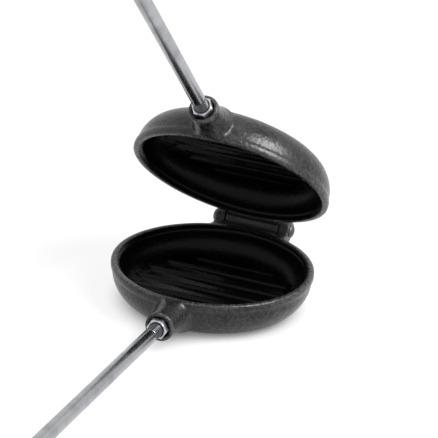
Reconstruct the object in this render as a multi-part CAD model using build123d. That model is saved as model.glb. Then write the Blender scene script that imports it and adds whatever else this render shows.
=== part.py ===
from build123d import *
import math
import os

# Round cast iron sandwich broiler, held open as in use. Millimetres, +Z up.
# The origin is the centre of the lower pan's base. The handles point to -Y and the hinge is at +Y.
# Both halves and both handles are drawn closed, mirrored at the parting plane. The lid and all that
# it carries are then swung open about the hinge pin.

# Cast halves
rim_radius = 57.5
half_depth = 23.5
base_radius = 43.0
casting_wall = 4.8
floor_thickness = 4.8
band_height = 5.0
band_proud = 0.9
rim_land = 3.2
rim_bevel_depth = 2.6
rim_edge_break = 0.6
parting_gap = 0.3

# Ribs across both cooking floors
rib_count = 7
rib_pitch = 12.7
rib_height = 2.0
rib_foot_width = 4.4
rib_top_width = 2.4
rib_root_depth = 1.0

# Rod sockets
socket_reach = 17.0
socket_height = 14.0
socket_straight = 5.0
socket_mouth_break = 0.8
socket_root_radius = 13.5
socket_root_depth = 24.0
socket_depth = 18.0
socket_wall = 2.3
counterbore_depth = 2.6
base_clearance = 0.6

# Hinge
hinge_offset = 6.6
knuckle_clearance = 0.8
lug_width = 33.2
ear_thickness = 6.2
ear_side_gap = 0.4
web_drop = 13.0
pin_diameter = 5.0
pin_seat_clearance = 0.03
pin_running_clearance = 0.08
pin_head_radius = 4.5
pin_head_height = 2.6
pin_peen_radius = 3.8
pin_peen_height = 1.7
open_angle = 43.0

# Handles, measured along the rod from the socket mouth
rod_diameter = 7.94
rod_fit_clearance = 0.03
rod_end_chamfer = 0.8
rod_end_gap = 0.3
nut_across_flats = 10.3
nut_height = 5.6
nut_corner_drop = 0.7
nut_side_clearance = 0.2
collar_radius = 6.0
collar_length = 5.0
collar_chamfer = 0.6
handle_reach = 576.0
grip_length = 140.0
grip_diameter = 23.0
grip_end_radius = 9.4
grip_tail_round = 3.0
ferrule_length = 16.0
ferrule_wall = 0.8
ferrule_face = 1.0
ferrule_clearance = 0.05
spigot_radius = 7.8
washer_radius = 8.0
washer_thickness = 1.5
cap_across_flats = 12.7
cap_corner_drop = 0.9
cap_nut_height = 12.4
cap_hex_height = 6.6
cap_dome_radius = 6.1
cap_thread_depth = 8.0

# Places that follow from these sizes
parting_face = half_depth - parting_gap / 2
band_foot = half_depth - band_height
bowl_radius = rim_radius - band_proud
cavity_radius = bowl_radius - casting_wall
side_bulge = ((bowl_radius - base_radius) ** 2 + band_foot**2) / (2 * (bowl_radius - base_radius))
side_centre_radius = bowl_radius - side_bulge
rib_top = floor_thickness + rib_height
hinge_y = rim_radius + hinge_offset
knuckle_radius = hinge_offset - knuckle_clearance
ear_inner_x = lug_width / 2 + ear_side_gap
ear_outer_x = ear_inner_x + ear_thickness
web_root_y = math.sqrt(cavity_radius**2 - ear_outer_x**2)
pin_radius = pin_diameter / 2
rod_radius = rod_diameter / 2
rod_hole_radius = rod_radius + rod_fit_clearance
counterbore_radius = nut_across_flats / math.sqrt(3) + nut_side_clearance
socket_radius = counterbore_radius + socket_wall
nut_start = -counterbore_depth
ferrule_start = handle_reach - grip_length
barrel_start = ferrule_start + ferrule_length
barrel_end = handle_reach - grip_tail_round
grip_belly = (barrel_start + barrel_end) / 2
grip_radius = grip_diameter / 2
washer_end = handle_reach + washer_thickness
rod_end = washer_end + cap_thread_depth - rod_end_gap
handle_tilt = math.asin((socket_height - grip_radius) / grip_belly)

parting_plane = Plane(origin=(0, 0, half_depth))
hinge_axis = Axis((0, hinge_y, half_depth), (1, 0, 0))
pin_plane = Plane(origin=(0, hinge_y, half_depth), x_dir=(0, 1, 0), z_dir=(1, 0, 0))
handle_plane = Plane(
    origin=(0, -(rim_radius + socket_reach), socket_height),
    x_dir=(1, 0, 0),
    z_dir=(0, -math.cos(handle_tilt), -math.sin(handle_tilt)),
)


def turned(*outline):
    # Solid of revolution about Z from a closed outline of (radius, height)
    return revolve(Plane.XZ * make_face(Curve() + list(outline)), Axis.Z)


def ring(outer_radius, inner_radius, start, end, chamfer_size):
    # Chamfered ring between two heights
    body = turned(
        Polyline(
            (0, start),
            (outer_radius - chamfer_size, start),
            (outer_radius, start + chamfer_size),
            (outer_radius, end - chamfer_size),
            (outer_radius - chamfer_size, end),
            (0, end),
            close=True,
        )
    )
    return body - rod_shape(inner_radius, start, end)


def rod_shape(radius, start, end):
    # Round bar or hole between two heights
    return Pos(0, 0, (start + end) / 2) * Cylinder(radius, end - start)


def dome(radius, height, start):
    # Low dome with its flat side at the start height
    return turned(
        TangentArc((0, start + height), (radius, start), tangent=(1, 0)),
        Polyline((radius, start), (0, start), (0, start + height)),
    )


def hexagon(across_flats, start, height, corner_drop):
    # Hexagon bar with its corners turned down at both ends
    flat = across_flats / 2
    corner = across_flats / math.sqrt(3)
    bar = extrude(Pos(0, 0, start) * RegularPolygon(corner, 6), amount=height)
    end = start + height
    limit = turned(
        Polyline(
            (0, start),
            (flat, start),
            (corner, start + corner_drop),
            (corner, end - corner_drop),
            (flat, end),
            (0, end),
            close=True,
        )
    )
    return bar & limit


def cavity_radius_at(height):
    # Inside radius of the curved wall at a height below the band
    inner_bulge = side_bulge - casting_wall
    return side_centre_radius + math.sqrt(inner_bulge**2 - (band_foot - height) ** 2)


def bowl():
    # Outside of one half: flat base, bulging side and raised rim band
    return turned(
        TangentArc((bowl_radius, band_foot), (base_radius, 0), tangent=(0, -1)),
        Polyline(
            (bowl_radius, band_foot),
            (rim_radius, band_foot + band_proud),
            (rim_radius, parting_face - rim_edge_break),
            (rim_radius - rim_edge_break, parting_face),
            (0, parting_face),
            (0, 0),
            (base_radius, 0),
        ),
    )


def cavity():
    # Inside of one half, open through the parting plane, with a bevel round the mouth
    floor_radius = cavity_radius_at(floor_thickness)
    return turned(
        TangentArc((cavity_radius, band_foot), (floor_radius, floor_thickness), tangent=(0, -1)),
        Polyline(
            (cavity_radius, band_foot),
            (cavity_radius, parting_face - rim_bevel_depth),
            (rim_radius - rim_land, parting_face),
            (rim_radius - rim_land, half_depth),
            (0, half_depth),
            (0, floor_thickness),
            (floor_radius, floor_thickness),
        ),
    )


def ribs():
    # Tapered ribs that run into the curved wall at both ends
    end_radius = cavity_radius_at(rib_top) + casting_wall / 2
    foot = floor_thickness - rib_root_depth
    limit = rod_shape(end_radius, 0, half_depth)
    solids = []
    for index in range(rib_count):
        y = (index - (rib_count - 1) / 2) * rib_pitch
        section = Polyline(
            (y - rib_foot_width / 2, foot),
            (y + rib_foot_width / 2, foot),
            (y + rib_top_width / 2, rib_top),
            (y - rib_top_width / 2, rib_top),
            close=True,
        )
        bar = extrude(Plane.YZ * make_face(section), amount=end_radius, both=True)
        solids.append(bar & limit)
    return solids


def socket():
    # Round socket that flares into the side of the bowl
    return handle_plane * turned(
        Polyline(
            (0, 0),
            (socket_radius - socket_mouth_break, 0),
            (socket_radius, -socket_mouth_break),
            (socket_radius, -socket_straight),
        ),
        TangentArc(
            (socket_radius, -socket_straight), (socket_root_radius, -socket_root_depth), tangent=(0, -1)
        ),
        Polyline((socket_root_radius, -socket_root_depth), (0, -socket_root_depth), (0, 0)),
    )


def socket_bore():
    # Rod hole with a counterbore for the lock nut
    mouth = rod_shape(counterbore_radius, -counterbore_depth, counterbore_depth)
    return handle_plane * (rod_shape(rod_hole_radius, -socket_depth, 0) + mouth)


def hinge_block(x_low, x_high):
    # Knuckle round the pin with a web down to the side of the bowl
    knuckle = CenterArc((hinge_y, half_depth), knuckle_radius, 0, 360)
    root = Line((web_root_y, parting_face), (web_root_y, parting_face - web_drop))
    below = Pos(hinge_y, parting_face / 2) * Rectangle(2 * hinge_y, parting_face)
    profile = (make_hull([knuckle, root]) & below) + make_face(knuckle)
    return extrude(Plane.YZ.offset(x_low) * profile, amount=x_high - x_low)


def cast_half(blocks):
    # One casting, lying as the lower pan does, with its hinge blocks
    side = 4 * rim_radius
    height = parting_face - base_clearance
    between = Pos(0, 0, base_clearance + height / 2) * Box(side, side, height)
    body = bowl() + (socket() & between)
    for block in blocks:
        body += block
    body -= cavity()
    for rib in ribs():
        body += rib
    return body - socket_bore()


def pin_hole(clearance):
    return pin_plane * rod_shape(pin_radius + clearance, -2 * ear_outer_x, 2 * ear_outer_x)


def lower_pan():
    ears = [hinge_block(ear_inner_x, ear_outer_x), hinge_block(-ear_outer_x, -ear_inner_x)]
    return cast_half(ears) - pin_hole(pin_seat_clearance)


def lid():
    lug = hinge_block(-lug_width / 2, lug_width / 2)
    return cast_half([lug]) - pin_hole(pin_running_clearance)


def hinge_pin():
    # Headed at one end and peened over at the other
    shank = rod_shape(pin_radius, -ear_outer_x, ear_outer_x)
    head = Rot(180, 0, 0) * dome(pin_head_radius, pin_head_height, ear_outer_x)
    return pin_plane * (shank + head + dome(pin_peen_radius, pin_peen_height, ear_outer_x))


# One handle, in order from the socket to the end of the grip
def rod():
    start = rod_end_gap - socket_depth
    bar = rod_shape(rod_radius, start, rod_end)
    return chamfer(bar.edges(), rod_end_chamfer)


def lock_nut():
    nut = hexagon(nut_across_flats, nut_start, nut_height, nut_corner_drop)
    return nut - rod_shape(rod_hole_radius, nut_start, nut_start + nut_height)


def stop_collar():
    return ring(collar_radius, rod_hole_radius, ferrule_start - collar_length, ferrule_start, collar_chamfer)


def ferrule():
    cup = rod_shape(spigot_radius + ferrule_clearance + ferrule_wall, ferrule_start, barrel_start)
    cup -= rod_shape(spigot_radius + ferrule_clearance, ferrule_start + ferrule_face, barrel_start)
    return cup - rod_shape(rod_hole_radius, ferrule_start, barrel_start)


def grip():
    # Barrel with a spigot for the ferrule and a rounded tail
    barrel = turned(
        ThreePointArc((grip_end_radius, barrel_start), (grip_radius, grip_belly), (grip_end_radius, barrel_end)),
        TangentArc(
            (grip_end_radius, barrel_end), (grip_end_radius - grip_tail_round, handle_reach), tangent=(0, 1)
        ),
        Polyline(
            (grip_end_radius - grip_tail_round, handle_reach),
            (0, handle_reach),
            (0, barrel_start),
            (grip_end_radius, barrel_start),
        ),
    )
    spigot = rod_shape(spigot_radius, ferrule_start + ferrule_face, barrel_start)
    return barrel + spigot - rod_shape(rod_hole_radius, ferrule_start, handle_reach)


def end_washer():
    washer = rod_shape(washer_radius, handle_reach, washer_end)
    return washer - rod_shape(rod_hole_radius, handle_reach, washer_end)


def cap_nut():
    cap = hexagon(cap_across_flats, washer_end, cap_hex_height, cap_corner_drop)
    cap += dome(cap_dome_radius, cap_nut_height - cap_hex_height, washer_end + cap_hex_height)
    return cap - rod_shape(rod_hole_radius, washer_end, washer_end + cap_thread_depth)


def swung_open(solid):
    # From lying as a lower piece to its place on the open lid
    return mirror(solid, about=parting_plane).rotate(hinge_axis, -open_angle)


handle_pieces = {
    "rod": rod(),
    "lock_nut": lock_nut(),
    "stop_collar": stop_collar(),
    "ferrule": ferrule(),
    "grip": grip(),
    "end_washer": end_washer(),
    "cap_nut": cap_nut(),
}

pieces = {"lower_pan": lower_pan(), "lid": swung_open(lid()), "hinge_pin": hinge_pin()}
for name, solid in handle_pieces.items():
    placed = handle_plane * solid
    pieces["lower_" + name] = placed
    pieces["upper_" + name] = swung_open(placed)

os.makedirs("parts", exist_ok=True)
for name, solid in pieces.items():
    export_step(solid, "parts/" + name + ".step")
    print(name, round(solid.volume / 1000, 2), "cm3")
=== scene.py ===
import bpy
import bmesh
import math
import numpy as np
from mathutils import Matrix, Vector


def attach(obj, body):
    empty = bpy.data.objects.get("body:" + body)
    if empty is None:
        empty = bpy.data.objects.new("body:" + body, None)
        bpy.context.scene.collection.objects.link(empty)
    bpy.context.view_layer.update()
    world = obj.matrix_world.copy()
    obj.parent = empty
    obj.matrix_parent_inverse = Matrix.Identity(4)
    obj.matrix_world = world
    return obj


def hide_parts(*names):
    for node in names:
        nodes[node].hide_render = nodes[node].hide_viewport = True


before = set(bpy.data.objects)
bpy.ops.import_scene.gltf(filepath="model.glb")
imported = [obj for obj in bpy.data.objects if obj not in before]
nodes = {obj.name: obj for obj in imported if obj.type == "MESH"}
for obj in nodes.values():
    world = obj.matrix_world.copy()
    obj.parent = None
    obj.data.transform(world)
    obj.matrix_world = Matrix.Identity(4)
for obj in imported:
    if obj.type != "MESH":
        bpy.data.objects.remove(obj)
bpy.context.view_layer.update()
mm = 0.001
print("stage: frame loaded,", len(nodes), "nodes")


# Camera: front right, a little above the rim, turned a few degrees on its own axis
cameraPlace = {"azimuth": 20.797, "elevation": 22.885, "roll": 4.0, "distance": 1.150,
               "alongRight": 0.00495, "alongUp": 0.04573, "lens": 166.636}


def makeCamera(place):
    azimuth, elevation, roll = (math.radians(place[key]) for key in ("azimuth", "elevation", "roll"))
    back = Vector((math.sin(azimuth) * math.cos(elevation),
                   -math.cos(azimuth) * math.cos(elevation), math.sin(elevation)))
    level = Vector((math.cos(azimuth), math.sin(azimuth), 0))
    upright = back.cross(level)
    right = level * math.cos(roll) + upright * math.sin(roll)
    up = upright * math.cos(roll) - level * math.sin(roll)
    data = bpy.data.cameras.new("camera")
    data.lens = place["lens"]
    data.sensor_width = 36
    camera = bpy.data.objects.new("camera", data)
    bpy.context.scene.collection.objects.link(camera)
    stand = back * place["distance"] + right * place["alongRight"] + up * place["alongUp"]
    camera.matrix_world = Matrix.Translation(stand) @ Matrix((right, up, back)).transposed().to_4x4()
    bpy.context.scene.camera = camera


makeCamera(cameraPlace)


# Where things lie: the lower half as cast, the upper half mirrored and swung open
layout = {"halfDepth": 23.5, "hingeY": 64.1, "openAngle": 43.0,
          "socketMouthY": -74.5, "socketHeight": 14.0, "handleTilt": 0.2795}

hingePoint = Vector((0, layout["hingeY"], layout["halfDepth"])) * mm
swing = (Matrix.Translation(hingePoint) @ Matrix.Rotation(math.radians(-layout["openAngle"]), 4, "X")
         @ Matrix.Translation(-hingePoint))


def axisFrame(origin, along):
    # A frame whose Z runs along the piece and whose X stays level
    across = Vector((1, 0, 0))
    side = along.cross(across)
    turn = Matrix((across, side, along)).transposed().to_4x4()
    return Matrix.Translation(origin * mm) @ turn


tilt = math.radians(layout["handleTilt"])
lowerMouth = Vector((0, layout["socketMouthY"], layout["socketHeight"]))
upperMouth = Vector((0, layout["socketMouthY"], 2 * layout["halfDepth"] - layout["socketHeight"]))
handleFrames = {
    "lower": axisFrame(lowerMouth, Vector((0, -math.cos(tilt), -math.sin(tilt)))),
    "upper": swing @ axisFrame(upperMouth, Vector((0, -math.cos(tilt), math.sin(tilt)))),
}
pinFrame = Matrix.Translation(hingePoint) @ Matrix.Rotation(math.radians(90), 4, "Y")
bodyOf = {"lower": "lower_half", "upper": "upper_half"}


# Node helpers, for geometry and for materials
def put(tree, kind, **settings):
    node = tree.nodes.new(kind)
    for key, value in settings.items():
        setattr(node, key, value)
    return node


def feed(tree, socket, value):
    # A socket takes another node's output or a plain value
    if isinstance(value, bpy.types.NodeSocket):
        tree.links.new(value, socket)
    elif value is not None:
        socket.default_value = value


def calc(tree, operation, *values, clamp=False):
    node = put(tree, "ShaderNodeMath", operation=operation, use_clamp=clamp)
    for socket, value in zip(node.inputs, values):
        feed(tree, socket, value)
    return node.outputs[0]


# Turning tree: a profile is spun round Z, cut with a thread and milled to flats
turning = {"flankRise": 2.4, "crestEase": 0.15, "leastCut": 1e-5, "leastFlats": 1e-6, "weldGap": 2e-6}


def makeTurningTree(look):
    tree = bpy.data.node_groups.new("turnedPiece", "GeometryNodeTree")
    face = tree.interface
    face.new_socket("Profile", in_out="INPUT", socket_type="NodeSocketGeometry")
    for name, kind, start in (("Steps", "NodeSocketInt", 64),
                              ("Thread Pitch", "NodeSocketFloat", 1.41 * mm),
                              ("Across Flats", "NodeSocketFloat", 0.0),
                              ("Flat Count", "NodeSocketInt", 6),
                              ("Sharp Angle", "NodeSocketFloat", 0.5),
                              ("Finish", "NodeSocketMaterial", None)):
        socket = face.new_socket(name, in_out="INPUT", socket_type=kind)
        if start is not None:
            socket.default_value = start
    face.new_socket("Geometry", in_out="OUTPUT", socket_type="NodeSocketGeometry")
    given = put(tree, "NodeGroupInput").outputs
    result = put(tree, "NodeGroupOutput")

    count = put(tree, "GeometryNodeAttributeDomainSize", component="MESH")
    feed(tree, count.inputs["Geometry"], given["Profile"])
    grid = put(tree, "GeometryNodeMeshGrid")
    feed(tree, grid.inputs["Size X"], 1.0)
    feed(tree, grid.inputs["Size Y"], 1.0)
    feed(tree, grid.inputs["Vertices X"], count.outputs["Point Count"])
    feed(tree, grid.inputs["Vertices Y"], calc(tree, "ADD", given["Steps"], 1))

    place = put(tree, "ShaderNodeSeparateXYZ")
    feed(tree, place.inputs[0], put(tree, "GeometryNodeInputPosition").outputs[0])
    last = calc(tree, "SUBTRACT", count.outputs["Point Count"], 1)
    row = calc(tree, "ROUND", calc(tree, "MULTIPLY", calc(tree, "ADD", place.outputs["X"], 0.5), last))
    turn = calc(tree, "ADD", place.outputs["Y"], 0.5)

    def sampled(dataType, value):
        pick = put(tree, "GeometryNodeSampleIndex", data_type=dataType, domain="POINT")
        feed(tree, pick.inputs["Geometry"], given["Profile"])
        feed(tree, pick.inputs["Value"], value)
        feed(tree, pick.inputs["Index"], row)
        return pick.outputs["Value"]

    outline = put(tree, "ShaderNodeSeparateXYZ")
    feed(tree, outline.inputs[0],
         sampled("FLOAT_VECTOR", put(tree, "GeometryNodeInputPosition").outputs[0]))
    named = put(tree, "GeometryNodeInputNamedAttribute", data_type="FLOAT")
    feed(tree, named.inputs["Name"], "cut")
    depth = sampled("FLOAT", named.outputs["Attribute"])

    # Thread: a rounded V that climbs one pitch a turn
    climb = calc(tree, "SUBTRACT", calc(tree, "DIVIDE", outline.outputs["Z"], given["Thread Pitch"]), turn)
    wave = calc(tree, "ABSOLUTE", calc(tree, "SUBTRACT", calc(tree, "FRACT", climb), 0.5))
    wave = calc(tree, "SMOOTH_MIN", calc(tree, "MULTIPLY", wave, look["flankRise"]), 1.0,
                look["crestEase"])
    threaded = calc(tree, "SUBTRACT", outline.outputs["X"], calc(tree, "MULTIPLY", wave, depth))
    # Painted shade: the profile's shade plus the depth of each thread root is stored as hollow, which
    # darkens the metal; on the grip the same value gives the burnt rings in the grooves
    shade = put(tree, "GeometryNodeInputNamedAttribute", data_type="FLOAT")
    feed(tree, shade.inputs["Name"], "shade")
    hollow = calc(tree, "ADD", sampled("FLOAT", shade.outputs["Attribute"]),
                  calc(tree, "MULTIPLY", wave, calc(tree, "GREATER_THAN", depth, look["leastCut"])))

    # Flats: nowhere further out than a regular polygon of the given width
    sector = calc(tree, "FRACT", calc(tree, "MULTIPLY", turn, given["Flat Count"]))
    sector = calc(tree, "DIVIDE", calc(tree, "MULTIPLY", calc(tree, "SUBTRACT", sector, 0.5), 2 * math.pi),
                  given["Flat Count"])
    limit = calc(tree, "DIVIDE", calc(tree, "MULTIPLY", given["Across Flats"], 0.5),
                 calc(tree, "COSINE", sector))
    unmilled = calc(tree, "LESS_THAN", given["Across Flats"], look["leastFlats"])
    radius = calc(tree, "MINIMUM", threaded, calc(tree, "ADD", limit, unmilled))

    angle = calc(tree, "MULTIPLY", turn, 2 * math.pi)
    spun = put(tree, "ShaderNodeCombineXYZ")
    feed(tree, spun.inputs["X"], calc(tree, "MULTIPLY", radius, calc(tree, "COSINE", angle)))
    feed(tree, spun.inputs["Y"], calc(tree, "MULTIPLY", radius, calc(tree, "SINE", angle)))
    feed(tree, spun.inputs["Z"], outline.outputs["Z"])
    marked = put(tree, "GeometryNodeStoreNamedAttribute", data_type="FLOAT", domain="POINT")
    feed(tree, marked.inputs["Geometry"], grid.outputs["Mesh"])
    feed(tree, marked.inputs["Name"], "hollow")
    feed(tree, marked.inputs["Value"], hollow)
    shape = put(tree, "GeometryNodeSetPosition")
    feed(tree, shape.inputs["Geometry"], marked.outputs["Geometry"])
    feed(tree, shape.inputs["Position"], spun.outputs[0])
    merged = put(tree, "GeometryNodeMergeByDistance")
    feed(tree, merged.inputs["Geometry"], shape.outputs[0])
    feed(tree, merged.inputs["Distance"], look["weldGap"])

    # Each point keeps where it lies on the upright piece, for grain and draw lines
    kept = put(tree, "GeometryNodeStoreNamedAttribute", data_type="FLOAT_VECTOR", domain="POINT")
    feed(tree, kept.inputs["Geometry"], merged.outputs["Geometry"])
    feed(tree, kept.inputs["Name"], "upright")
    feed(tree, kept.inputs["Value"], put(tree, "GeometryNodeInputPosition").outputs[0])
    smooth = put(tree, "GeometryNodeSetShadeSmooth", domain="FACE")
    feed(tree, smooth.inputs["Geometry"], kept.outputs["Geometry"])
    crease = put(tree, "GeometryNodeSetShadeSmooth", domain="EDGE")
    feed(tree, crease.inputs["Geometry"], smooth.outputs["Geometry"])
    bend = put(tree, "GeometryNodeInputMeshEdgeAngle")
    feed(tree, crease.inputs["Selection"],
         calc(tree, "GREATER_THAN", bend.outputs["Unsigned Angle"], given["Sharp Angle"]))
    feed(tree, crease.inputs["Shade Smooth"], False)
    real = put(tree, "GeometryNodeRealizeInstances")
    feed(tree, real.inputs["Geometry"], crease.outputs["Geometry"])
    coat = put(tree, "GeometryNodeSetMaterial")
    feed(tree, coat.inputs["Geometry"], real.outputs["Geometry"])
    feed(tree, coat.inputs["Material"], given["Finish"])
    feed(tree, result.inputs["Geometry"], coat.outputs["Geometry"])
    return tree


# Casting tree: eases the edges of a remeshed casting and gives it a sand-cast skin
def makeCastingTree():
    tree = bpy.data.node_groups.new("castingSkin", "GeometryNodeTree")
    face = tree.interface
    face.new_socket("Geometry", in_out="INPUT", socket_type="NodeSocketGeometry")
    for name, kind, start in (("Easing", "NodeSocketInt", 4),
                              ("Grain Depth", "NodeSocketFloat", 0.05 * mm),
                              ("Grain Size", "NodeSocketFloat", 2.2 * mm),
                              ("Lump Depth", "NodeSocketFloat", 0.12 * mm),
                              ("Lump Size", "NodeSocketFloat", 14 * mm),
                              ("Finish", "NodeSocketMaterial", None)):
        socket = face.new_socket(name, in_out="INPUT", socket_type=kind)
        if start is not None:
            socket.default_value = start
    face.new_socket("Geometry", in_out="OUTPUT", socket_type="NodeSocketGeometry")
    given = put(tree, "NodeGroupInput").outputs
    result = put(tree, "NodeGroupOutput")

    blur = put(tree, "GeometryNodeBlurAttribute", data_type="FLOAT_VECTOR")
    feed(tree, blur.inputs["Value"], put(tree, "GeometryNodeInputPosition").outputs[0])
    feed(tree, blur.inputs["Iterations"], given["Easing"])
    eased = put(tree, "GeometryNodeSetPosition")
    feed(tree, eased.inputs["Geometry"], given["Geometry"])
    feed(tree, eased.inputs["Position"], blur.outputs["Value"])

    def skin(size, depth, detail):
        noise = put(tree, "ShaderNodeTexNoise", noise_dimensions="3D")
        feed(tree, noise.inputs["Scale"], calc(tree, "DIVIDE", 1.0, size))
        feed(tree, noise.inputs["Detail"], detail)
        feed(tree, noise.inputs["Vector"], put(tree, "GeometryNodeInputPosition").outputs[0])
        return calc(tree, "MULTIPLY", noise.outputs[0], depth)

    fineDetail, coarseDetail = 2.0, 1.0
    inward = calc(tree, "ADD", skin(given["Grain Size"], given["Grain Depth"], fineDetail),
                  skin(given["Lump Size"], given["Lump Depth"], coarseDetail))
    push = calc(tree, "MULTIPLY", inward, -1.0)
    offset = put(tree, "ShaderNodeVectorMath", operation="SCALE")
    feed(tree, offset.inputs[0], put(tree, "GeometryNodeInputNormal").outputs[0])
    feed(tree, offset.inputs["Scale"], push)
    rough = put(tree, "GeometryNodeSetPosition")
    feed(tree, rough.inputs["Geometry"], eased.outputs["Geometry"])
    feed(tree, rough.inputs["Offset"], offset.outputs[0])
    smooth = put(tree, "GeometryNodeSetShadeSmooth", domain="FACE")
    feed(tree, smooth.inputs["Geometry"], rough.outputs["Geometry"])
    real = put(tree, "GeometryNodeRealizeInstances")
    feed(tree, real.inputs["Geometry"], smooth.outputs["Geometry"])
    coat = put(tree, "GeometryNodeSetMaterial")
    feed(tree, coat.inputs["Geometry"], real.outputs["Geometry"])
    feed(tree, coat.inputs["Material"], given["Finish"])
    feed(tree, result.inputs["Geometry"], coat.outputs["Geometry"])
    return tree


def giveTree(piece, tree, values):
    # Each input is set by its socket's identifier before the piece is first evaluated
    modifier = piece.modifiers.new(tree.name, "NODES")
    modifier.node_group = tree
    for item in tree.interface.items_tree:
        if item.item_type == "SOCKET" and item.in_out == "INPUT" and item.name in values:
            modifier[item.identifier] = values[item.name]


def bakeMesh(piece, name):
    # The evaluated result becomes a plain mesh and the modifiers go
    bpy.context.view_layer.update()
    depsgraph = bpy.context.evaluated_depsgraph_get()
    mesh = bpy.data.meshes.new_from_object(piece.evaluated_get(depsgraph), depsgraph=depsgraph)
    mesh.name = name
    old = piece.data
    piece.modifiers.clear()
    piece.data = mesh
    bpy.data.meshes.remove(old)
    return mesh


def newPiece(name, mesh):
    piece = bpy.data.objects.new(name, mesh)
    bpy.context.scene.collection.objects.link(piece)
    return piece


def faceOutward(mesh):
    shell = bmesh.new()
    shell.from_mesh(mesh)
    bmesh.ops.recalc_face_normals(shell, faces=shell.faces)
    shell.to_mesh(mesh)
    shell.free()


turningTree = makeTurningTree(turning)
castingTree = makeCastingTree()
print("stage: geometry trees built")


# Finishes
def newMaterial(name):
    material = bpy.data.materials.new(name)
    material.use_nodes = True
    tree = material.node_tree
    shader = tree.nodes["Principled BSDF"]
    return material, tree, shader


def noiseOf(tree, vector, scale, detail=2.0, roughness=0.5):
    noise = put(tree, "ShaderNodeTexNoise", noise_dimensions="3D")
    feed(tree, noise.inputs["Vector"], vector)
    feed(tree, noise.inputs["Scale"], scale)
    feed(tree, noise.inputs["Detail"], detail)
    feed(tree, noise.inputs["Roughness"], roughness)
    return noise.outputs[0]


def spread(tree, value, fromLow, fromHigh, toLow, toHigh):
    node = put(tree, "ShaderNodeMapRange", clamp=True)
    for socket, number in zip(node.inputs, (value, fromLow, fromHigh, toLow, toHigh)):
        feed(tree, socket, number)
    return node.outputs[0]


def blendColours(tree, factor, first, second):
    mix = put(tree, "ShaderNodeMix", data_type="RGBA")
    feed(tree, mix.inputs[0], factor)
    feed(tree, mix.inputs[6], first if isinstance(first, bpy.types.NodeSocket) else (*first, 1))
    feed(tree, mix.inputs[7], second if isinstance(second, bpy.types.NodeSocket) else (*second, 1))
    return mix.outputs[2]


def bumpOf(tree, height, distance, strength=1.0, under=None):
    bump = put(tree, "ShaderNodeBump")
    feed(tree, bump.inputs["Strength"], strength)
    feed(tree, bump.inputs["Distance"], distance)
    feed(tree, bump.inputs["Height"], height)
    if under is not None:
        feed(tree, bump.inputs["Normal"], under)
    return bump.outputs[0]


def attributeOf(tree, name, output="Vector"):
    return put(tree, "ShaderNodeAttribute", attribute_name=name).outputs[output]


# Sizes and depths of the skin in mm; the noise levels are where one tone turns into the next.
# A noise is its detail and roughness, and shade dull is how much rougher the iron is where shade is
# painted
ironLook = {"skin": (0.003, 0.0031, 0.0031), "pale": (0.041, 0.0414, 0.041),
            "worn": (0.10, 0.10, 0.098), "grainSize": 1.7, "pitSize": 2.6, "grainDepth": 0.18,
            "pitDepth": 0.12, "dull": (0.20, 0.28), "shine": 0.31, "shadeDull": 0.4}
# Painted shade: the cavity look is a near-black, low-shine iron for the faces of the shaded cavity
cavityShadeLook = {"skin": (0.0006, 0.0006, 0.0006), "pale": (0.004, 0.0039, 0.0037),
            "worn": (0.02, 0.019, 0.018), "grainSize": 1.1, "pitSize": 2.4, "grainDepth": 0.06,
            "pitDepth": 0.06, "dull": (0.24, 0.32), "shine": 0.11, "shadeDull": 0.0}
ironGrain = {"patchScale": 70, "patchNoise": (4, 0.6), "grainNoise": (4, 0.7), "pitRounding": 0.6,
             "pitLevels": (0.1, 0.55), "grainLevels": (0.42, 0.64), "grainTones": (0.05, 0.75),
             "patchLevels": (0.35, 0.68), "patchTones": (-0.15, 0.2), "rubLevels": (0.38, 0.62),
             "rubTones": (0.1, 0.9), "dullLevels": (0.3, 0.7), "shineLevels": (0.4, 0.65),
             "shineChange": (0.08, -0.05), "pitStrength": 0.6, "grainStrength": 0.9}


def castIronFinish(name, look, skin):
    # Sand-cast grain and shallow pits under a thin oil seasoning, rubbed paler along the edges
    material, tree, shader = newMaterial(name)
    place = put(tree, "ShaderNodeTexCoord").outputs["Object"]
    patches = noiseOf(tree, place, skin["patchScale"], *skin["patchNoise"])
    grain = noiseOf(tree, place, 1 / (look["grainSize"] * mm), *skin["grainNoise"])
    pits = put(tree, "ShaderNodeTexVoronoi", feature="SMOOTH_F1")
    feed(tree, pits.inputs["Vector"], place)
    pits.inputs["Scale"].default_value = 1 / (look["pitSize"] * mm)
    pits.inputs["Smoothness"].default_value = skin["pitRounding"]
    hollow = spread(tree, pits.outputs["Distance"], *skin["pitLevels"], 0, 1)
    speckle = calc(tree, "ADD", spread(tree, grain, *skin["grainLevels"], *skin["grainTones"]),
                   spread(tree, patches, *skin["patchLevels"], *skin["patchTones"]), clamp=True)
    tone = blendColours(tree, speckle, look["skin"], look["pale"])
    rubbed = calc(tree, "MULTIPLY", attributeOf(tree, "wear", "Fac"),
                  spread(tree, grain, *skin["rubLevels"], *skin["rubTones"]))
    tone = blendColours(tree, rubbed, tone, look["worn"])
    # Painted shade: where the painted-shade attribute is set, over the cavity, in creases and about the
    # hinge, the tone goes to the near-black skin and the iron grows rougher
    paintedShade = attributeOf(tree, "paintedShade", "Fac")
    tone = blendColours(tree, paintedShade, tone, look["skin"])
    feed(tree, shader.inputs["Base Color"], tone)
    shader.inputs["Specular IOR Level"].default_value = look["shine"]
    dull = calc(tree, "ADD", spread(tree, patches, *skin["dullLevels"], *look["dull"]),
                spread(tree, grain, *skin["shineLevels"], *skin["shineChange"]))
    feed(tree, shader.inputs["Roughness"],
         calc(tree, "ADD", dull, calc(tree, "MULTIPLY", paintedShade, look["shadeDull"])))
    bumps = bumpOf(tree, hollow, look["pitDepth"] * mm, skin["pitStrength"])
    feed(tree, shader.inputs["Normal"],
         bumpOf(tree, grain, look["grainDepth"] * mm, skin["grainStrength"], under=bumps))
    return material


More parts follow.
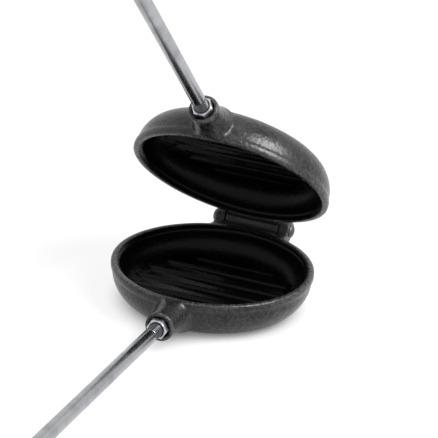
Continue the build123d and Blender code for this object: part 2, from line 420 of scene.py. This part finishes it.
# Line stretch is how much longer than wide the draw lines are; dull is the roughness of a clean patch
rodLook = {"bright": (0.40, 0.41, 0.425), "dark": (0.30, 0.305, 0.32), "paintedShadeTone": (0.02, 0.02, 0.02),
           "lineStretch": 60, "dull": 0.17}
zincLook = {"bright": (0.66, 0.67, 0.70), "dark": (0.48, 0.50, 0.54), "paintedShadeTone": (0.06, 0.06, 0.06),
            "lineStretch": 2, "dull": 0.24}
satinLook = {"bright": (0.60, 0.60, 0.60), "dark": (0.45, 0.45, 0.46), "paintedShadeTone": (0.06, 0.06, 0.06),
             "lineStretch": 0.1, "dull": 0.26}
pinLook = {"bright": (0.13, 0.13, 0.13), "dark": (0.06, 0.058, 0.056), "paintedShadeTone": (0.06, 0.06, 0.06),
           "lineStretch": 4, "dull": 0.38}
steelGrain = {"lineScale": 3500, "lineDepth": 0.01, "lineStrength": 0.5, "lineDull": 0.06,
              "stainScale": 130, "stainDetail": 3, "stainLevels": (0.35, 0.7), "stainDull": 0.1,
              "dullLevels": (0.3, 0.7), "deepShade": 0.85, "deepDull": 0.25}


def drawnSteelFinish(name, look, grain):
    # Draw lines run along the piece; soft stains break up the shine, and painted shade darkens what lies
    # deep, such as the thread and the nut's bore and outer rim
    material, tree, shader = newMaterial(name)
    upright = attributeOf(tree, "upright")
    stretched = put(tree, "ShaderNodeMapping")
    feed(tree, stretched.inputs["Vector"], upright)
    stretched.inputs["Scale"].default_value = (1, 1, 1 / look["lineStretch"])
    fine = noiseOf(tree, stretched.outputs[0], grain["lineScale"])
    stains = noiseOf(tree, upright, grain["stainScale"], grain["stainDetail"])
    stained = spread(tree, stains, *grain["stainLevels"], 0, 1)
    tone = blendColours(tree, stained, look["bright"], look["dark"])
    # Painted shade: the hollow attribute pulls the tone toward the near-black shade tone
    deep = calc(tree, "MULTIPLY", attributeOf(tree, "hollow", "Fac"), grain["deepShade"], clamp=True)
    tone = blendColours(tree, deep, tone, look["paintedShadeTone"])
    feed(tree, shader.inputs["Base Color"], tone)
    shader.inputs["Metallic"].default_value = 1.0
    rough = calc(tree, "ADD", spread(tree, stains, *grain["dullLevels"], look["dull"],
                                     look["dull"] + grain["stainDull"]),
                 calc(tree, "MULTIPLY", fine, grain["lineDull"]))
    feed(tree, shader.inputs["Roughness"],
         calc(tree, "ADD", rough, calc(tree, "MULTIPLY", deep, grain["deepDull"])))
    feed(tree, shader.inputs["Normal"], bumpOf(tree, fine, grain["lineDepth"] * mm, grain["lineStrength"]))
    return material


woodLook = {"pale": (0.40, 0.195, 0.075), "deep": (0.13, 0.048, 0.016), "pore": (0.05, 0.020, 0.008),
            "scorch": (0.018, 0.010, 0.006), "pith": (0.013, 0.021, 0), "ringStretch": 0.045,
            "poreStretch": 0.03, "driftScale": 85, "driftDetail": 3, "ringScale": 95, "ringWander": 5.0,
            "wanderScale": 0.6, "wanderDetail": 2, "poreScale": 2600, "ringShare": 0.55,
            "toneLevels": (0.25, 0.85), "poreLevels": (0.62, 0.72),
            "poreTone": 0.75, "scorchTone": 0.95, "dull": (0.3, 0.42), "dullLevels": (0.3, 0.7),
            "lacquer": 0.15, "lacquerDull": 0.12, "shine": 0.3, "poreDepth": 0.04, "poreStrength": 0.5}


def hardwoodFinish(look):
    # Straight-grained turned wood under thin lacquer: rings about a pith off to one side
    material, tree, shader = newMaterial("lacqueredHardwood")
    upright = attributeOf(tree, "upright")
    lengthwise = put(tree, "ShaderNodeMapping")
    feed(tree, lengthwise.inputs["Vector"], upright)
    lengthwise.inputs["Location"].default_value = look["pith"]
    lengthwise.inputs["Scale"].default_value = (1, 1, look["ringStretch"])
    drift = noiseOf(tree, lengthwise.outputs[0], look["driftScale"], look["driftDetail"])
    rings = put(tree, "ShaderNodeTexWave", wave_type="RINGS", rings_direction="Z", wave_profile="SAW")
    feed(tree, rings.inputs["Vector"], lengthwise.outputs[0])
    rings.inputs["Scale"].default_value = look["ringScale"]
    rings.inputs["Distortion"].default_value = look["ringWander"]
    rings.inputs["Detail"].default_value = look["wanderDetail"]
    rings.inputs["Detail Scale"].default_value = look["wanderScale"]
    fibre = put(tree, "ShaderNodeMapping")
    feed(tree, fibre.inputs["Vector"], upright)
    fibre.inputs["Scale"].default_value = (1, 1, look["poreStretch"])
    fibres = noiseOf(tree, fibre.outputs[0], look["poreScale"])
    figure = calc(tree, "ADD", calc(tree, "MULTIPLY", rings.outputs["Fac"], look["ringShare"]),
                  calc(tree, "MULTIPLY", drift, 1 - look["ringShare"]))
    tone = blendColours(tree, spread(tree, figure, *look["toneLevels"], 0, 1), look["pale"], look["deep"])
    pores = spread(tree, fibres, *look["poreLevels"], 0, look["poreTone"])
    tone = blendColours(tree, pores, tone, look["pore"])
    burnt = calc(tree, "MULTIPLY", attributeOf(tree, "hollow", "Fac"), look["scorchTone"], clamp=True)
    tone = blendColours(tree, burnt, tone, look["scorch"])
    feed(tree, shader.inputs["Base Color"], tone)
    feed(tree, shader.inputs["Roughness"], spread(tree, drift, *look["dullLevels"], *look["dull"]))
    shader.inputs["Coat Weight"].default_value = look["lacquer"]
    shader.inputs["Coat Roughness"].default_value = look["lacquerDull"]
    shader.inputs["Specular IOR Level"].default_value = look["shine"]
    feed(tree, shader.inputs["Normal"], bumpOf(tree, fibres, look["poreDepth"] * mm, look["poreStrength"]))
    return material


ironFinish = castIronFinish("seasonedCastIron", ironLook, ironGrain)
# Painted shade: the darker iron for the cavity's faces
cavityShadeFinish = castIronFinish("castIronPaintedShade", cavityShadeLook, ironGrain)
rodFinish = drawnSteelFinish("platedRodSteel", rodLook, steelGrain)
nutFinish = drawnSteelFinish("zincPlate", zincLook, steelGrain)
ferruleFinish = drawnSteelFinish("satinSteel", satinLook, steelGrain)
pinFinish = drawnSteelFinish("darkPinSteel", pinLook, steelGrain)
woodFinish = hardwoodFinish(woodLook)
print("stage: finishes made")


# Castings: the CAD solids remeshed with eased edges and a sand-cast skin
# The shade keys set the painted shade: its fade at the cavity's edge, where it stops short of the floor
# and rim, the faces that take the cavity finish, and its strength in creases and about the hinge
castings = {"voxel": 0.68, "easing": 4, "grainDepth": 0.05, "grainSize": 2.2, "lumpDepth": 0.12,
            "lumpSize": 14, "bandFoot": 18.5, "bowlRadius": 56.6, "baseRadius": 43.0, "wall": 4.8,
            "weldGap": 0.001, "shadeFade": 1.2, "shadeFloor": 2.0, "unshadedRim": 0.2, "shadedFrom": 0.5,
            "wearRounds": 3, "wearStart": 0.012, "wearSpan": 0.05,
            "creaseStart": 0.012, "creaseSpan": 0.03, "creaseShade": 0.45,
            "hingeRadius": 57.8, "hingeHalf": 23.0, "hingeSpan": 2.5, "hingeShade": 0.49}


def mergedCopy(nodeName, turn, weldGap):
    shell = bmesh.new()
    shell.from_mesh(nodes[nodeName].data)
    bmesh.ops.remove_doubles(shell, verts=shell.verts, dist=weldGap)
    mesh = bpy.data.meshes.new(nodeName + "Copy")
    shell.to_mesh(mesh)
    shell.free()
    mesh.transform(turn)
    return mesh


def markCasting(mesh, look, mirrored):
    # Wear along outward edges is kept as an attribute, and so is painted shade: all over the cavity,
    # fainter in creases and about the hinge. The faces of the cavity take the darker painted-shade finish
    count = len(mesh.vertices)
    points = np.empty(count * 3)
    mesh.vertices.foreach_get("co", points)
    points = points.reshape(-1, 3) / mm
    height = 2 * layout["halfDepth"] - points[:, 2] if mirrored else points[:, 2]
    radius = np.hypot(points[:, 0], points[:, 1])
    drop = look["bandFoot"]
    inset = look["bowlRadius"] - look["baseRadius"]
    bulge = (inset ** 2 + drop ** 2) / (2 * inset)
    middle = look["bowlRadius"] - bulge + np.sqrt(
        np.maximum((bulge - look["wall"] / 2) ** 2 - np.maximum(drop - height, 0) ** 2, 0))
    # Painted shade over the whole cavity
    inward = np.clip((middle - radius) / look["shadeFade"] + 0.5, 0, 1)
    aboveFloor = np.clip(height - look["shadeFloor"], 0, 1)
    belowRim = np.clip((layout["halfDepth"] - look["unshadedRim"] - height) / look["shadeFade"], 0, 1)
    cavity = inward * aboveFloor * belowRim
    # Painted shade about the hinge, where the two halves meet
    hinge = (look["hingeShade"] * (points[:, 1] > 0)
             * np.clip((radius - look["hingeRadius"]) / look["hingeSpan"], 0, 1)
             * np.clip((look["hingeHalf"] - np.abs(points[:, 0])) / look["hingeSpan"], 0, 1))

    edges = np.empty(len(mesh.edges) * 2, dtype=np.int64)
    mesh.edges.foreach_get("vertices", edges)
    a, b = edges.reshape(-1, 2).T
    normals = np.empty(count * 3)
    mesh.vertices.foreach_get("normal", normals)
    normals = normals.reshape(-1, 3)
    links = np.bincount(a, minlength=count) + np.bincount(b, minlength=count)

    def averaged(values):
        total = np.bincount(a, values[b], count) + np.bincount(b, values[a], count)
        return total / np.maximum(links, 1)

    around = np.stack([averaged(points[:, k]) for k in range(3)], 1)
    bulging = ((points - around) * normals).sum(1)
    for _ in range(look["wearRounds"]):
        bulging = averaged(bulging)
    wear = np.clip((bulging - look["wearStart"]) / look["wearSpan"], 0, 1)
    # Painted shade in concave creases
    crease = np.clip((-bulging - look["creaseStart"]) / look["creaseSpan"], 0, 1) * look["creaseShade"]
    paintedShade = np.maximum(np.maximum(cavity, hinge), crease)
    for name, values in (("paintedShade", paintedShade), ("wear", wear)):
        attribute = mesh.attributes.new(name, "FLOAT", "POINT")
        attribute.data.foreach_set("value", values.astype(np.float32))

    mesh.materials.append(cavityShadeFinish)
    corners = np.empty(len(mesh.loops), dtype=np.int64)
    mesh.loops.foreach_get("vertex_index", corners)
    starts = np.empty(len(mesh.polygons), dtype=np.int64)
    mesh.polygons.foreach_get("loop_start", starts)
    paintedShadeFaces = paintedShade[corners[starts]] > look["shadedFrom"]
    mesh.polygons.foreach_set("material_index", paintedShadeFaces.astype(np.int32))


def makeCasting(name, nodeName, body, turn, mirrored, look):
    piece = newPiece(name, mergedCopy(nodeName, turn.inverted(), look["weldGap"] * mm))
    remesh = piece.modifiers.new("fineVoxels", "REMESH")
    remesh.mode = "VOXEL"
    remesh.voxel_size = look["voxel"] * mm
    giveTree(piece, castingTree, {"Easing": look["easing"],
                                  "Grain Depth": look["grainDepth"] * mm,
                                  "Grain Size": look["grainSize"] * mm,
                                  "Lump Depth": look["lumpDepth"] * mm,
                                  "Lump Size": look["lumpSize"] * mm, "Finish": ironFinish})
    mesh = bakeMesh(piece, name)
    markCasting(mesh, look, mirrored)
    mesh.transform(turn)
    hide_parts(nodeName)
    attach(piece, body)
    print("casting:", name, sum(len(face.vertices) - 2 for face in mesh.polygons), "triangles")


makeCasting("pan_casting", "lower_pan", "lower_half", Matrix.Identity(4), False, castings)
makeCasting("lid_casting", "lid", "upper_half", swing, True, castings)
print("stage: castings made")


# Profiles for the turned pieces: (radius, height, thread depth, shade) from start to end, in mm.
# Steps are the facets round the piece, sharp is the angle in degrees from which an edge stays crisp
def arc(centre, radius, fromAngle, toAngle, count=8):
    points = []
    for index in range(count + 1):
        angle = math.radians(fromAngle + (toAngle - fromAngle) * index / count)
        points.append((centre[0] + radius * math.cos(angle), centre[1] + radius * math.sin(angle)))
    return points


def turnPiece(name, profile, place, finish, sizes):
    mesh = bpy.data.meshes.new(name + "Profile")
    mesh.from_pydata([(point[0] * mm, 0, point[1] * mm) for point in profile], [], [])
    # A point may carry a thread depth and a shade, which darkens what lies deep: painted shade on the
    # rod's thread and the nuts, burnt rings in the grip's grooves
    for index, (attribute, unit) in enumerate((("cut", mm), ("shade", 1.0)), start=2):
        values = [point[index] * unit if len(point) > index else 0.0 for point in profile]
        mesh.attributes.new(attribute, "FLOAT", "POINT").data.foreach_set("value", values)
    piece = newPiece(name, mesh)
    giveTree(piece, turningTree, {"Steps": sizes["steps"], "Thread Pitch": rodSizes["pitch"] * mm,
                                  "Across Flats": sizes.get("acrossFlats", 0.0) * mm,
                                  "Sharp Angle": math.radians(sizes["sharp"]), "Finish": finish})
    baked = bakeMesh(piece, name)
    faceOutward(baked)
    baked.transform(place)
    return piece


# The thread shade is painted shade that darkens the threaded length
rodSizes = {"radius": 3.97, "start": -17.7, "end": 585.2, "chamfer": 0.8, "threadEnd": 12.0,
            "threadRunout": 1.6, "pitch": 1.41, "threadDepth": 0.55, "threadShade": 0.55, "rowsPerTurn": 8,
            "shankStep": 30.0, "steps": 48, "sharp": 30}


def rodProfile(sizes):
    points = [(0, sizes["start"]), (sizes["radius"] - sizes["chamfer"], sizes["start"])]
    z = sizes["start"] + sizes["chamfer"]
    while z < sizes["threadEnd"]:
        fade = min(1, (sizes["threadEnd"] - z) / sizes["threadRunout"],
                   (z - sizes["start"]) / sizes["chamfer"])
        points.append((sizes["radius"], z, sizes["threadDepth"] * fade, sizes["threadShade"] * fade))
        z += sizes["pitch"] / sizes["rowsPerTurn"]
    z = sizes["threadEnd"]
    while z < sizes["end"] - sizes["chamfer"]:
        points.append((sizes["radius"], z))
        z += sizes["shankStep"]
    points += [(sizes["radius"], sizes["end"] - sizes["chamfer"]),
               (sizes["radius"] - sizes["chamfer"], sizes["end"]), (0, sizes["end"])]
    return points


# The bore shade and rim shade are painted shade on the ring round the bore and the chamfered rim of the
# nut's outer face
nutSizes = {"acrossFlats": 10.3, "start": -2.6, "end": 3.0, "cornerDrop": 0.7, "faceInset": 0.15,
            "bore": 4.0, "boreBreak": 0.45, "boreShade": 0.6, "rimShade": 0.45, "steps": 96, "sharp": 14}


def nutProfile(sizes):
    corner = sizes["acrossFlats"] / math.sqrt(3)
    face = sizes["acrossFlats"] / 2 - sizes["faceInset"]
    start, end, bore, ease = sizes["start"], sizes["end"], sizes["bore"], sizes["boreBreak"]
    drop = sizes["cornerDrop"]
    return [(bore, start + ease), (bore + ease, start), (face, start), (corner, start + drop),
            (corner, (start + end) / 2), (corner, end - drop, 0, sizes["rimShade"]), (face, end),
            (bore + ease, end, 0, sizes["boreShade"]), (bore, end - ease, 0, 1), (bore, start + ease)]


collarSizes = {"radius": 6.0, "start": 431.0, "end": 436.0, "ease": 0.7, "bore": 4.0, "grooveDepth": 0.25,
               "grooveHalf": 0.5, "steps": 64, "sharp": 30}


def collarProfile(sizes):
    outer, ease, start, end = sizes["radius"], sizes["ease"], sizes["start"], sizes["end"]
    middle = (start + end) / 2
    return ([(sizes["bore"], start), (outer - ease, start)]
            + arc((outer - ease, start + ease), ease, -90, 0)[1:]
            + [(outer, middle - sizes["grooveHalf"]), (outer - sizes["grooveDepth"], middle),
               (outer, middle + sizes["grooveHalf"])]
            + arc((outer - ease, end - ease), ease, 0, 90)
            + [(sizes["bore"], end), (sizes["bore"], start)])


ferruleSizes = {"radius": 8.65, "wall": 0.8, "face": 1.0, "start": 436.0, "end": 452.0, "ease": 1.3,
                "bore": 4.0, "beads": (440.2, 448.6), "beadDepth": 0.3, "beadHalf": 0.9, "beadRows": 4,
                "lipRound": 0.35, "steps": 64, "sharp": 30}


def ferruleProfile(sizes):
    outer, ease, start, end = sizes["radius"], sizes["ease"], sizes["start"], sizes["end"]
    inner, lip, rows = outer - sizes["wall"], sizes["lipRound"], sizes["beadRows"]
    points = [(sizes["bore"], start), (outer - ease, start)]
    points += arc((outer - ease, start + ease), ease, -90, 0)[1:]
    for bead in sizes["beads"]:
        for index in range(-rows, rows + 1):
            dip = math.cos(index / rows * math.pi / 2) ** 2
            points.append((outer - sizes["beadDepth"] * dip, bead + sizes["beadHalf"] * index / rows))
    points += arc((outer - lip, end - lip), lip, 0, 90, 4) + [(inner, end), (inner, start + sizes["face"])]
    return points + [(sizes["bore"], start + sizes["face"]), (sizes["bore"], start)]


gripSizes = {"start": 437.0, "shoulder": 452.0, "end": 576.0, "bore": 4.0, "spigot": 7.8, "endRadius": 9.4,
             "bellyRadius": 11.5, "tailRound": 3.0, "shoulderEase": 0.9,
             "grooves": (459.5, 462.5, 563.0, 566.0), "grooveDepth": 0.45, "grooveHalf": 0.6,
             "grooveRows": 3, "rows": 70, "steps": 72, "sharp": 30}


def gripProfile(sizes):
    # The barrel swells along an arc; fine scorched grooves ring both ends
    barrelStart = sizes["shoulder"] + sizes["shoulderEase"]
    barrelEnd = sizes["end"] - sizes["tailRound"]
    middle = (sizes["shoulder"] + barrelEnd) / 2
    half = (barrelEnd - sizes["shoulder"]) / 2
    rise = sizes["bellyRadius"] - sizes["endRadius"]
    sweep = (half ** 2 + rise ** 2) / (2 * rise)

    def swell(z):
        return sizes["bellyRadius"] - sweep + math.sqrt(sweep ** 2 - (z - middle) ** 2)

    heights = {barrelStart + (barrelEnd - barrelStart) * index / sizes["rows"]
               for index in range(sizes["rows"] + 1)}
    rows = sizes["grooveRows"]
    for groove in sizes["grooves"]:
        heights = {z for z in heights if abs(z - groove) > sizes["grooveHalf"]}
        heights |= {groove + sizes["grooveHalf"] * index / rows for index in range(-rows, rows + 1)}
    points = [(sizes["bore"], sizes["start"]), (sizes["spigot"], sizes["start"]),
              (sizes["spigot"], sizes["shoulder"])]
    ease = sizes["shoulderEase"]
    points += arc((swell(barrelStart) - ease, barrelStart), ease, -90, 0, 5)[:-1]
    for z in sorted(heights):
        nearest = min(abs(z - groove) for groove in sizes["grooves"])
        shade = max(0, 1 - nearest / sizes["grooveHalf"])
        points.append((swell(z) - shade * sizes["grooveDepth"], z, 0, shade))
    points += arc((sizes["endRadius"] - sizes["tailRound"], barrelEnd), sizes["tailRound"], 0, 90)[1:]
    return points + [(sizes["bore"], sizes["end"]), (sizes["bore"], sizes["start"])]


washerSizes = {"radius": 8.0, "start": 576.0, "end": 577.5, "bore": 4.0, "ease": 0.4, "seatBreak": 0.1,
               "boreBreak": 0.3, "steps": 64, "sharp": 30}


def washerProfile(sizes):
    outer, ease, start, end = sizes["radius"], sizes["ease"], sizes["start"], sizes["end"]
    seat, bore, hole = sizes["seatBreak"], sizes["bore"], sizes["boreBreak"]
    return ([(bore, start), (outer - seat, start), (outer, start + seat)]
            + arc((outer - ease, end - ease), ease, 0, 90, 5)
            + [(bore + hole, end), (bore, end - hole), (bore, start)])


capSizes = {"acrossFlats": 12.7, "start": 577.5, "hexEnd": 584.1, "end": 589.9, "cornerDrop": 0.9,
            "faceInset": 0.2, "domeRadius": 6.1, "domeSink": 0.12, "domeRows": 12, "bore": 4.0,
            "depth": 8.0, "steps": 96, "sharp": 14}


def capProfile(sizes):
    # A hexagon skirt with a round dome on top
    corner, flat = sizes["acrossFlats"] / math.sqrt(3), sizes["acrossFlats"] / 2
    start, hexEnd, dome = sizes["start"], sizes["hexEnd"], sizes["domeRadius"]
    drop = sizes["cornerDrop"]
    rise = sizes["end"] - sizes["domeSink"] - hexEnd
    points = [(sizes["bore"], start), (flat - sizes["faceInset"], start), (corner, start + drop),
              (corner, hexEnd - drop), (flat, hexEnd), (dome, hexEnd)]
    for index in range(1, sizes["domeRows"] + 1):
        angle = math.pi / 2 * index / sizes["domeRows"]
        points.append((dome * math.cos(angle), hexEnd + rise * math.sin(angle)))
    top = start + sizes["depth"]
    return points + [(0, top), (sizes["bore"], top), (sizes["bore"], start)]


pinSizes = {"radius": 2.5, "half": 23.2, "headRadius": 4.5, "headHeight": 2.6, "peenRadius": 3.8,
            "peenHeight": 1.7, "headRows": 9, "steps": 48, "sharp": 30}


def pinProfile(sizes):
    # Domed head, straight shank, then the flatter end that was hammered over
    half, rows = sizes["half"], sizes["headRows"]

    def dome(radius, height, side):
        turns = [math.pi / 2 * index / rows for index in range(rows + 1)]
        return [(radius * math.sin(turn), side * (half + height * math.cos(turn))) for turn in turns]

    head = dome(sizes["headRadius"], sizes["headHeight"], -1)
    peen = dome(sizes["peenRadius"], sizes["peenHeight"], 1)
    return head + [(sizes["radius"], -half), (sizes["radius"], half)] + peen[::-1]


turnedPieces = (("rod", rodProfile, rodSizes, rodFinish, "plated_rod"),
                ("lock_nut", nutProfile, nutSizes, nutFinish, "zinc_steel"),
                ("stop_collar", collarProfile, collarSizes, ferruleFinish, "ferrule_steel"),
                ("ferrule", ferruleProfile, ferruleSizes, ferruleFinish, "ferrule_steel"),
                ("grip", gripProfile, gripSizes, woodFinish, "turned_hardwood"),
                ("end_washer", washerProfile, washerSizes, nutFinish, "zinc_steel"),
                ("cap_nut", capProfile, capSizes, nutFinish, "zinc_steel"))
for side, place in handleFrames.items():
    for nodeName, profileOf, sizes, finish, slot in turnedPieces:
        piece = turnPiece(side + "_" + nodeName + "_turned", profileOf(sizes), place, finish, sizes)
        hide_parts(side + "_" + nodeName)
        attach(piece, bodyOf[side])
pin = turnPiece("hinge_pin_turned", pinProfile(pinSizes), pinFrame, pinFinish, pinSizes)
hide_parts("hinge_pin")
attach(pin, "lower_half")
print("stage: turned pieces made")


# Studio: white floor and surround, soft lights; lengths in metres, powers in watts
studio = {"floorHalf": 6.0, "floorColour": 0.80, "seenColour": 0.18, "seenLift": 0.87,
          "worldStrength": 0.30, "contactReach": 0.020, "contactClear": 0.58, "contactDark": 0.1,
          "contactSamples": 8}


def whiteToTheEye(tree, plain, bright):
    # Camera, glossy and transmission rays see the bright shader, the rest the plain one
    path = put(tree, "ShaderNodeLightPath").outputs
    seen = calc(tree, "MAXIMUM", calc(tree, "MAXIMUM", path["Is Camera Ray"], path["Is Glossy Ray"]),
                path["Is Transmission Ray"])
    mix = put(tree, "ShaderNodeMixShader")
    feed(tree, mix.inputs[0], seen)
    feed(tree, mix.inputs[1], plain)
    feed(tree, mix.inputs[2], bright)
    return mix.outputs[0]


def makeStudio(look):
    half = look["floorHalf"]
    floorMesh = bpy.data.meshes.new("floor")
    floorMesh.from_pydata([(-half, -half, 0), (half, -half, 0), (half, half, 0), (-half, half, 0)], [],
                          [(0, 1, 2, 3)])
    floor = newPiece("floor", floorMesh)
    material = bpy.data.materials.new("paperFloor")
    material.use_nodes = True
    tree = material.node_tree
    tree.nodes.clear()

    def paper(grey):
        shader = put(tree, "ShaderNodeBsdfDiffuse")
        shader.inputs["Color"].default_value = (grey, grey, grey, 1)
        return shader.outputs[0]

    # Seen directly it is nearly lit from within, so real shadows stay faint; close under the object an
    # ambient occlusion mask dims that glow, a painted contact shadow
    close = put(tree, "ShaderNodeAmbientOcclusion", samples=look["contactSamples"])
    close.inputs["Distance"].default_value = look["contactReach"]
    lift = put(tree, "ShaderNodeEmission")
    paintedContactShadow = spread(tree, close.outputs["AO"], 0, look["contactClear"], look["contactDark"], 1)
    feed(tree, lift.inputs["Strength"], calc(tree, "MULTIPLY", paintedContactShadow, look["seenLift"]))
    lifted = put(tree, "ShaderNodeAddShader")
    feed(tree, lifted.inputs[0], paper(look["seenColour"]))
    feed(tree, lifted.inputs[1], lift.outputs[0])
    feed(tree, put(tree, "ShaderNodeOutputMaterial").inputs["Surface"],
         whiteToTheEye(tree, paper(look["floorColour"]), lifted.outputs[0]))
    floorMesh.materials.append(material)

    world = bpy.data.worlds.new("studio")
    bpy.context.scene.world = world
    world.use_nodes = True
    tree = world.node_tree
    tree.nodes.clear()
    plain = put(tree, "ShaderNodeBackground")
    plain.inputs["Strength"].default_value = look["worldStrength"]
    bright = put(tree, "ShaderNodeBackground")
    bright.inputs["Color"].default_value = (1, 1, 1, 1)
    plain.inputs["Color"].default_value = (1, 1, 1, 1)
    feed(tree, put(tree, "ShaderNodeOutputWorld").inputs["Surface"],
         whiteToTheEye(tree, plain.outputs[0], bright.outputs[0]))


lights = {
    "overhead": {"place": (-0.25, 0.25, 1.3), "aim": (0, 0, 0.04), "size": 1.0, "power": 2.5},
    "rightSide": {"place": (0.65, -0.03, 0.80), "aim": (0, 0, 0.04), "size": 0.56, "power": 15.5},
}


def makeLight(name, look):
    data = bpy.data.lights.new(name, "AREA")
    data.shape = "DISK"
    data.size = look["size"]
    data.energy = look["power"]
    light = bpy.data.objects.new(name, data)
    bpy.context.scene.collection.objects.link(light)
    place = Vector(look["place"])
    aim = (place - Vector(look["aim"])).to_track_quat("Z", "Y")
    light.matrix_world = Matrix.Translation(place) @ aim.to_matrix().to_4x4()


makeStudio(studio)
for name, look in lights.items():
    makeLight(name, look)
bpy.context.scene.view_settings.view_transform = "Standard"
print("stage: studio made")
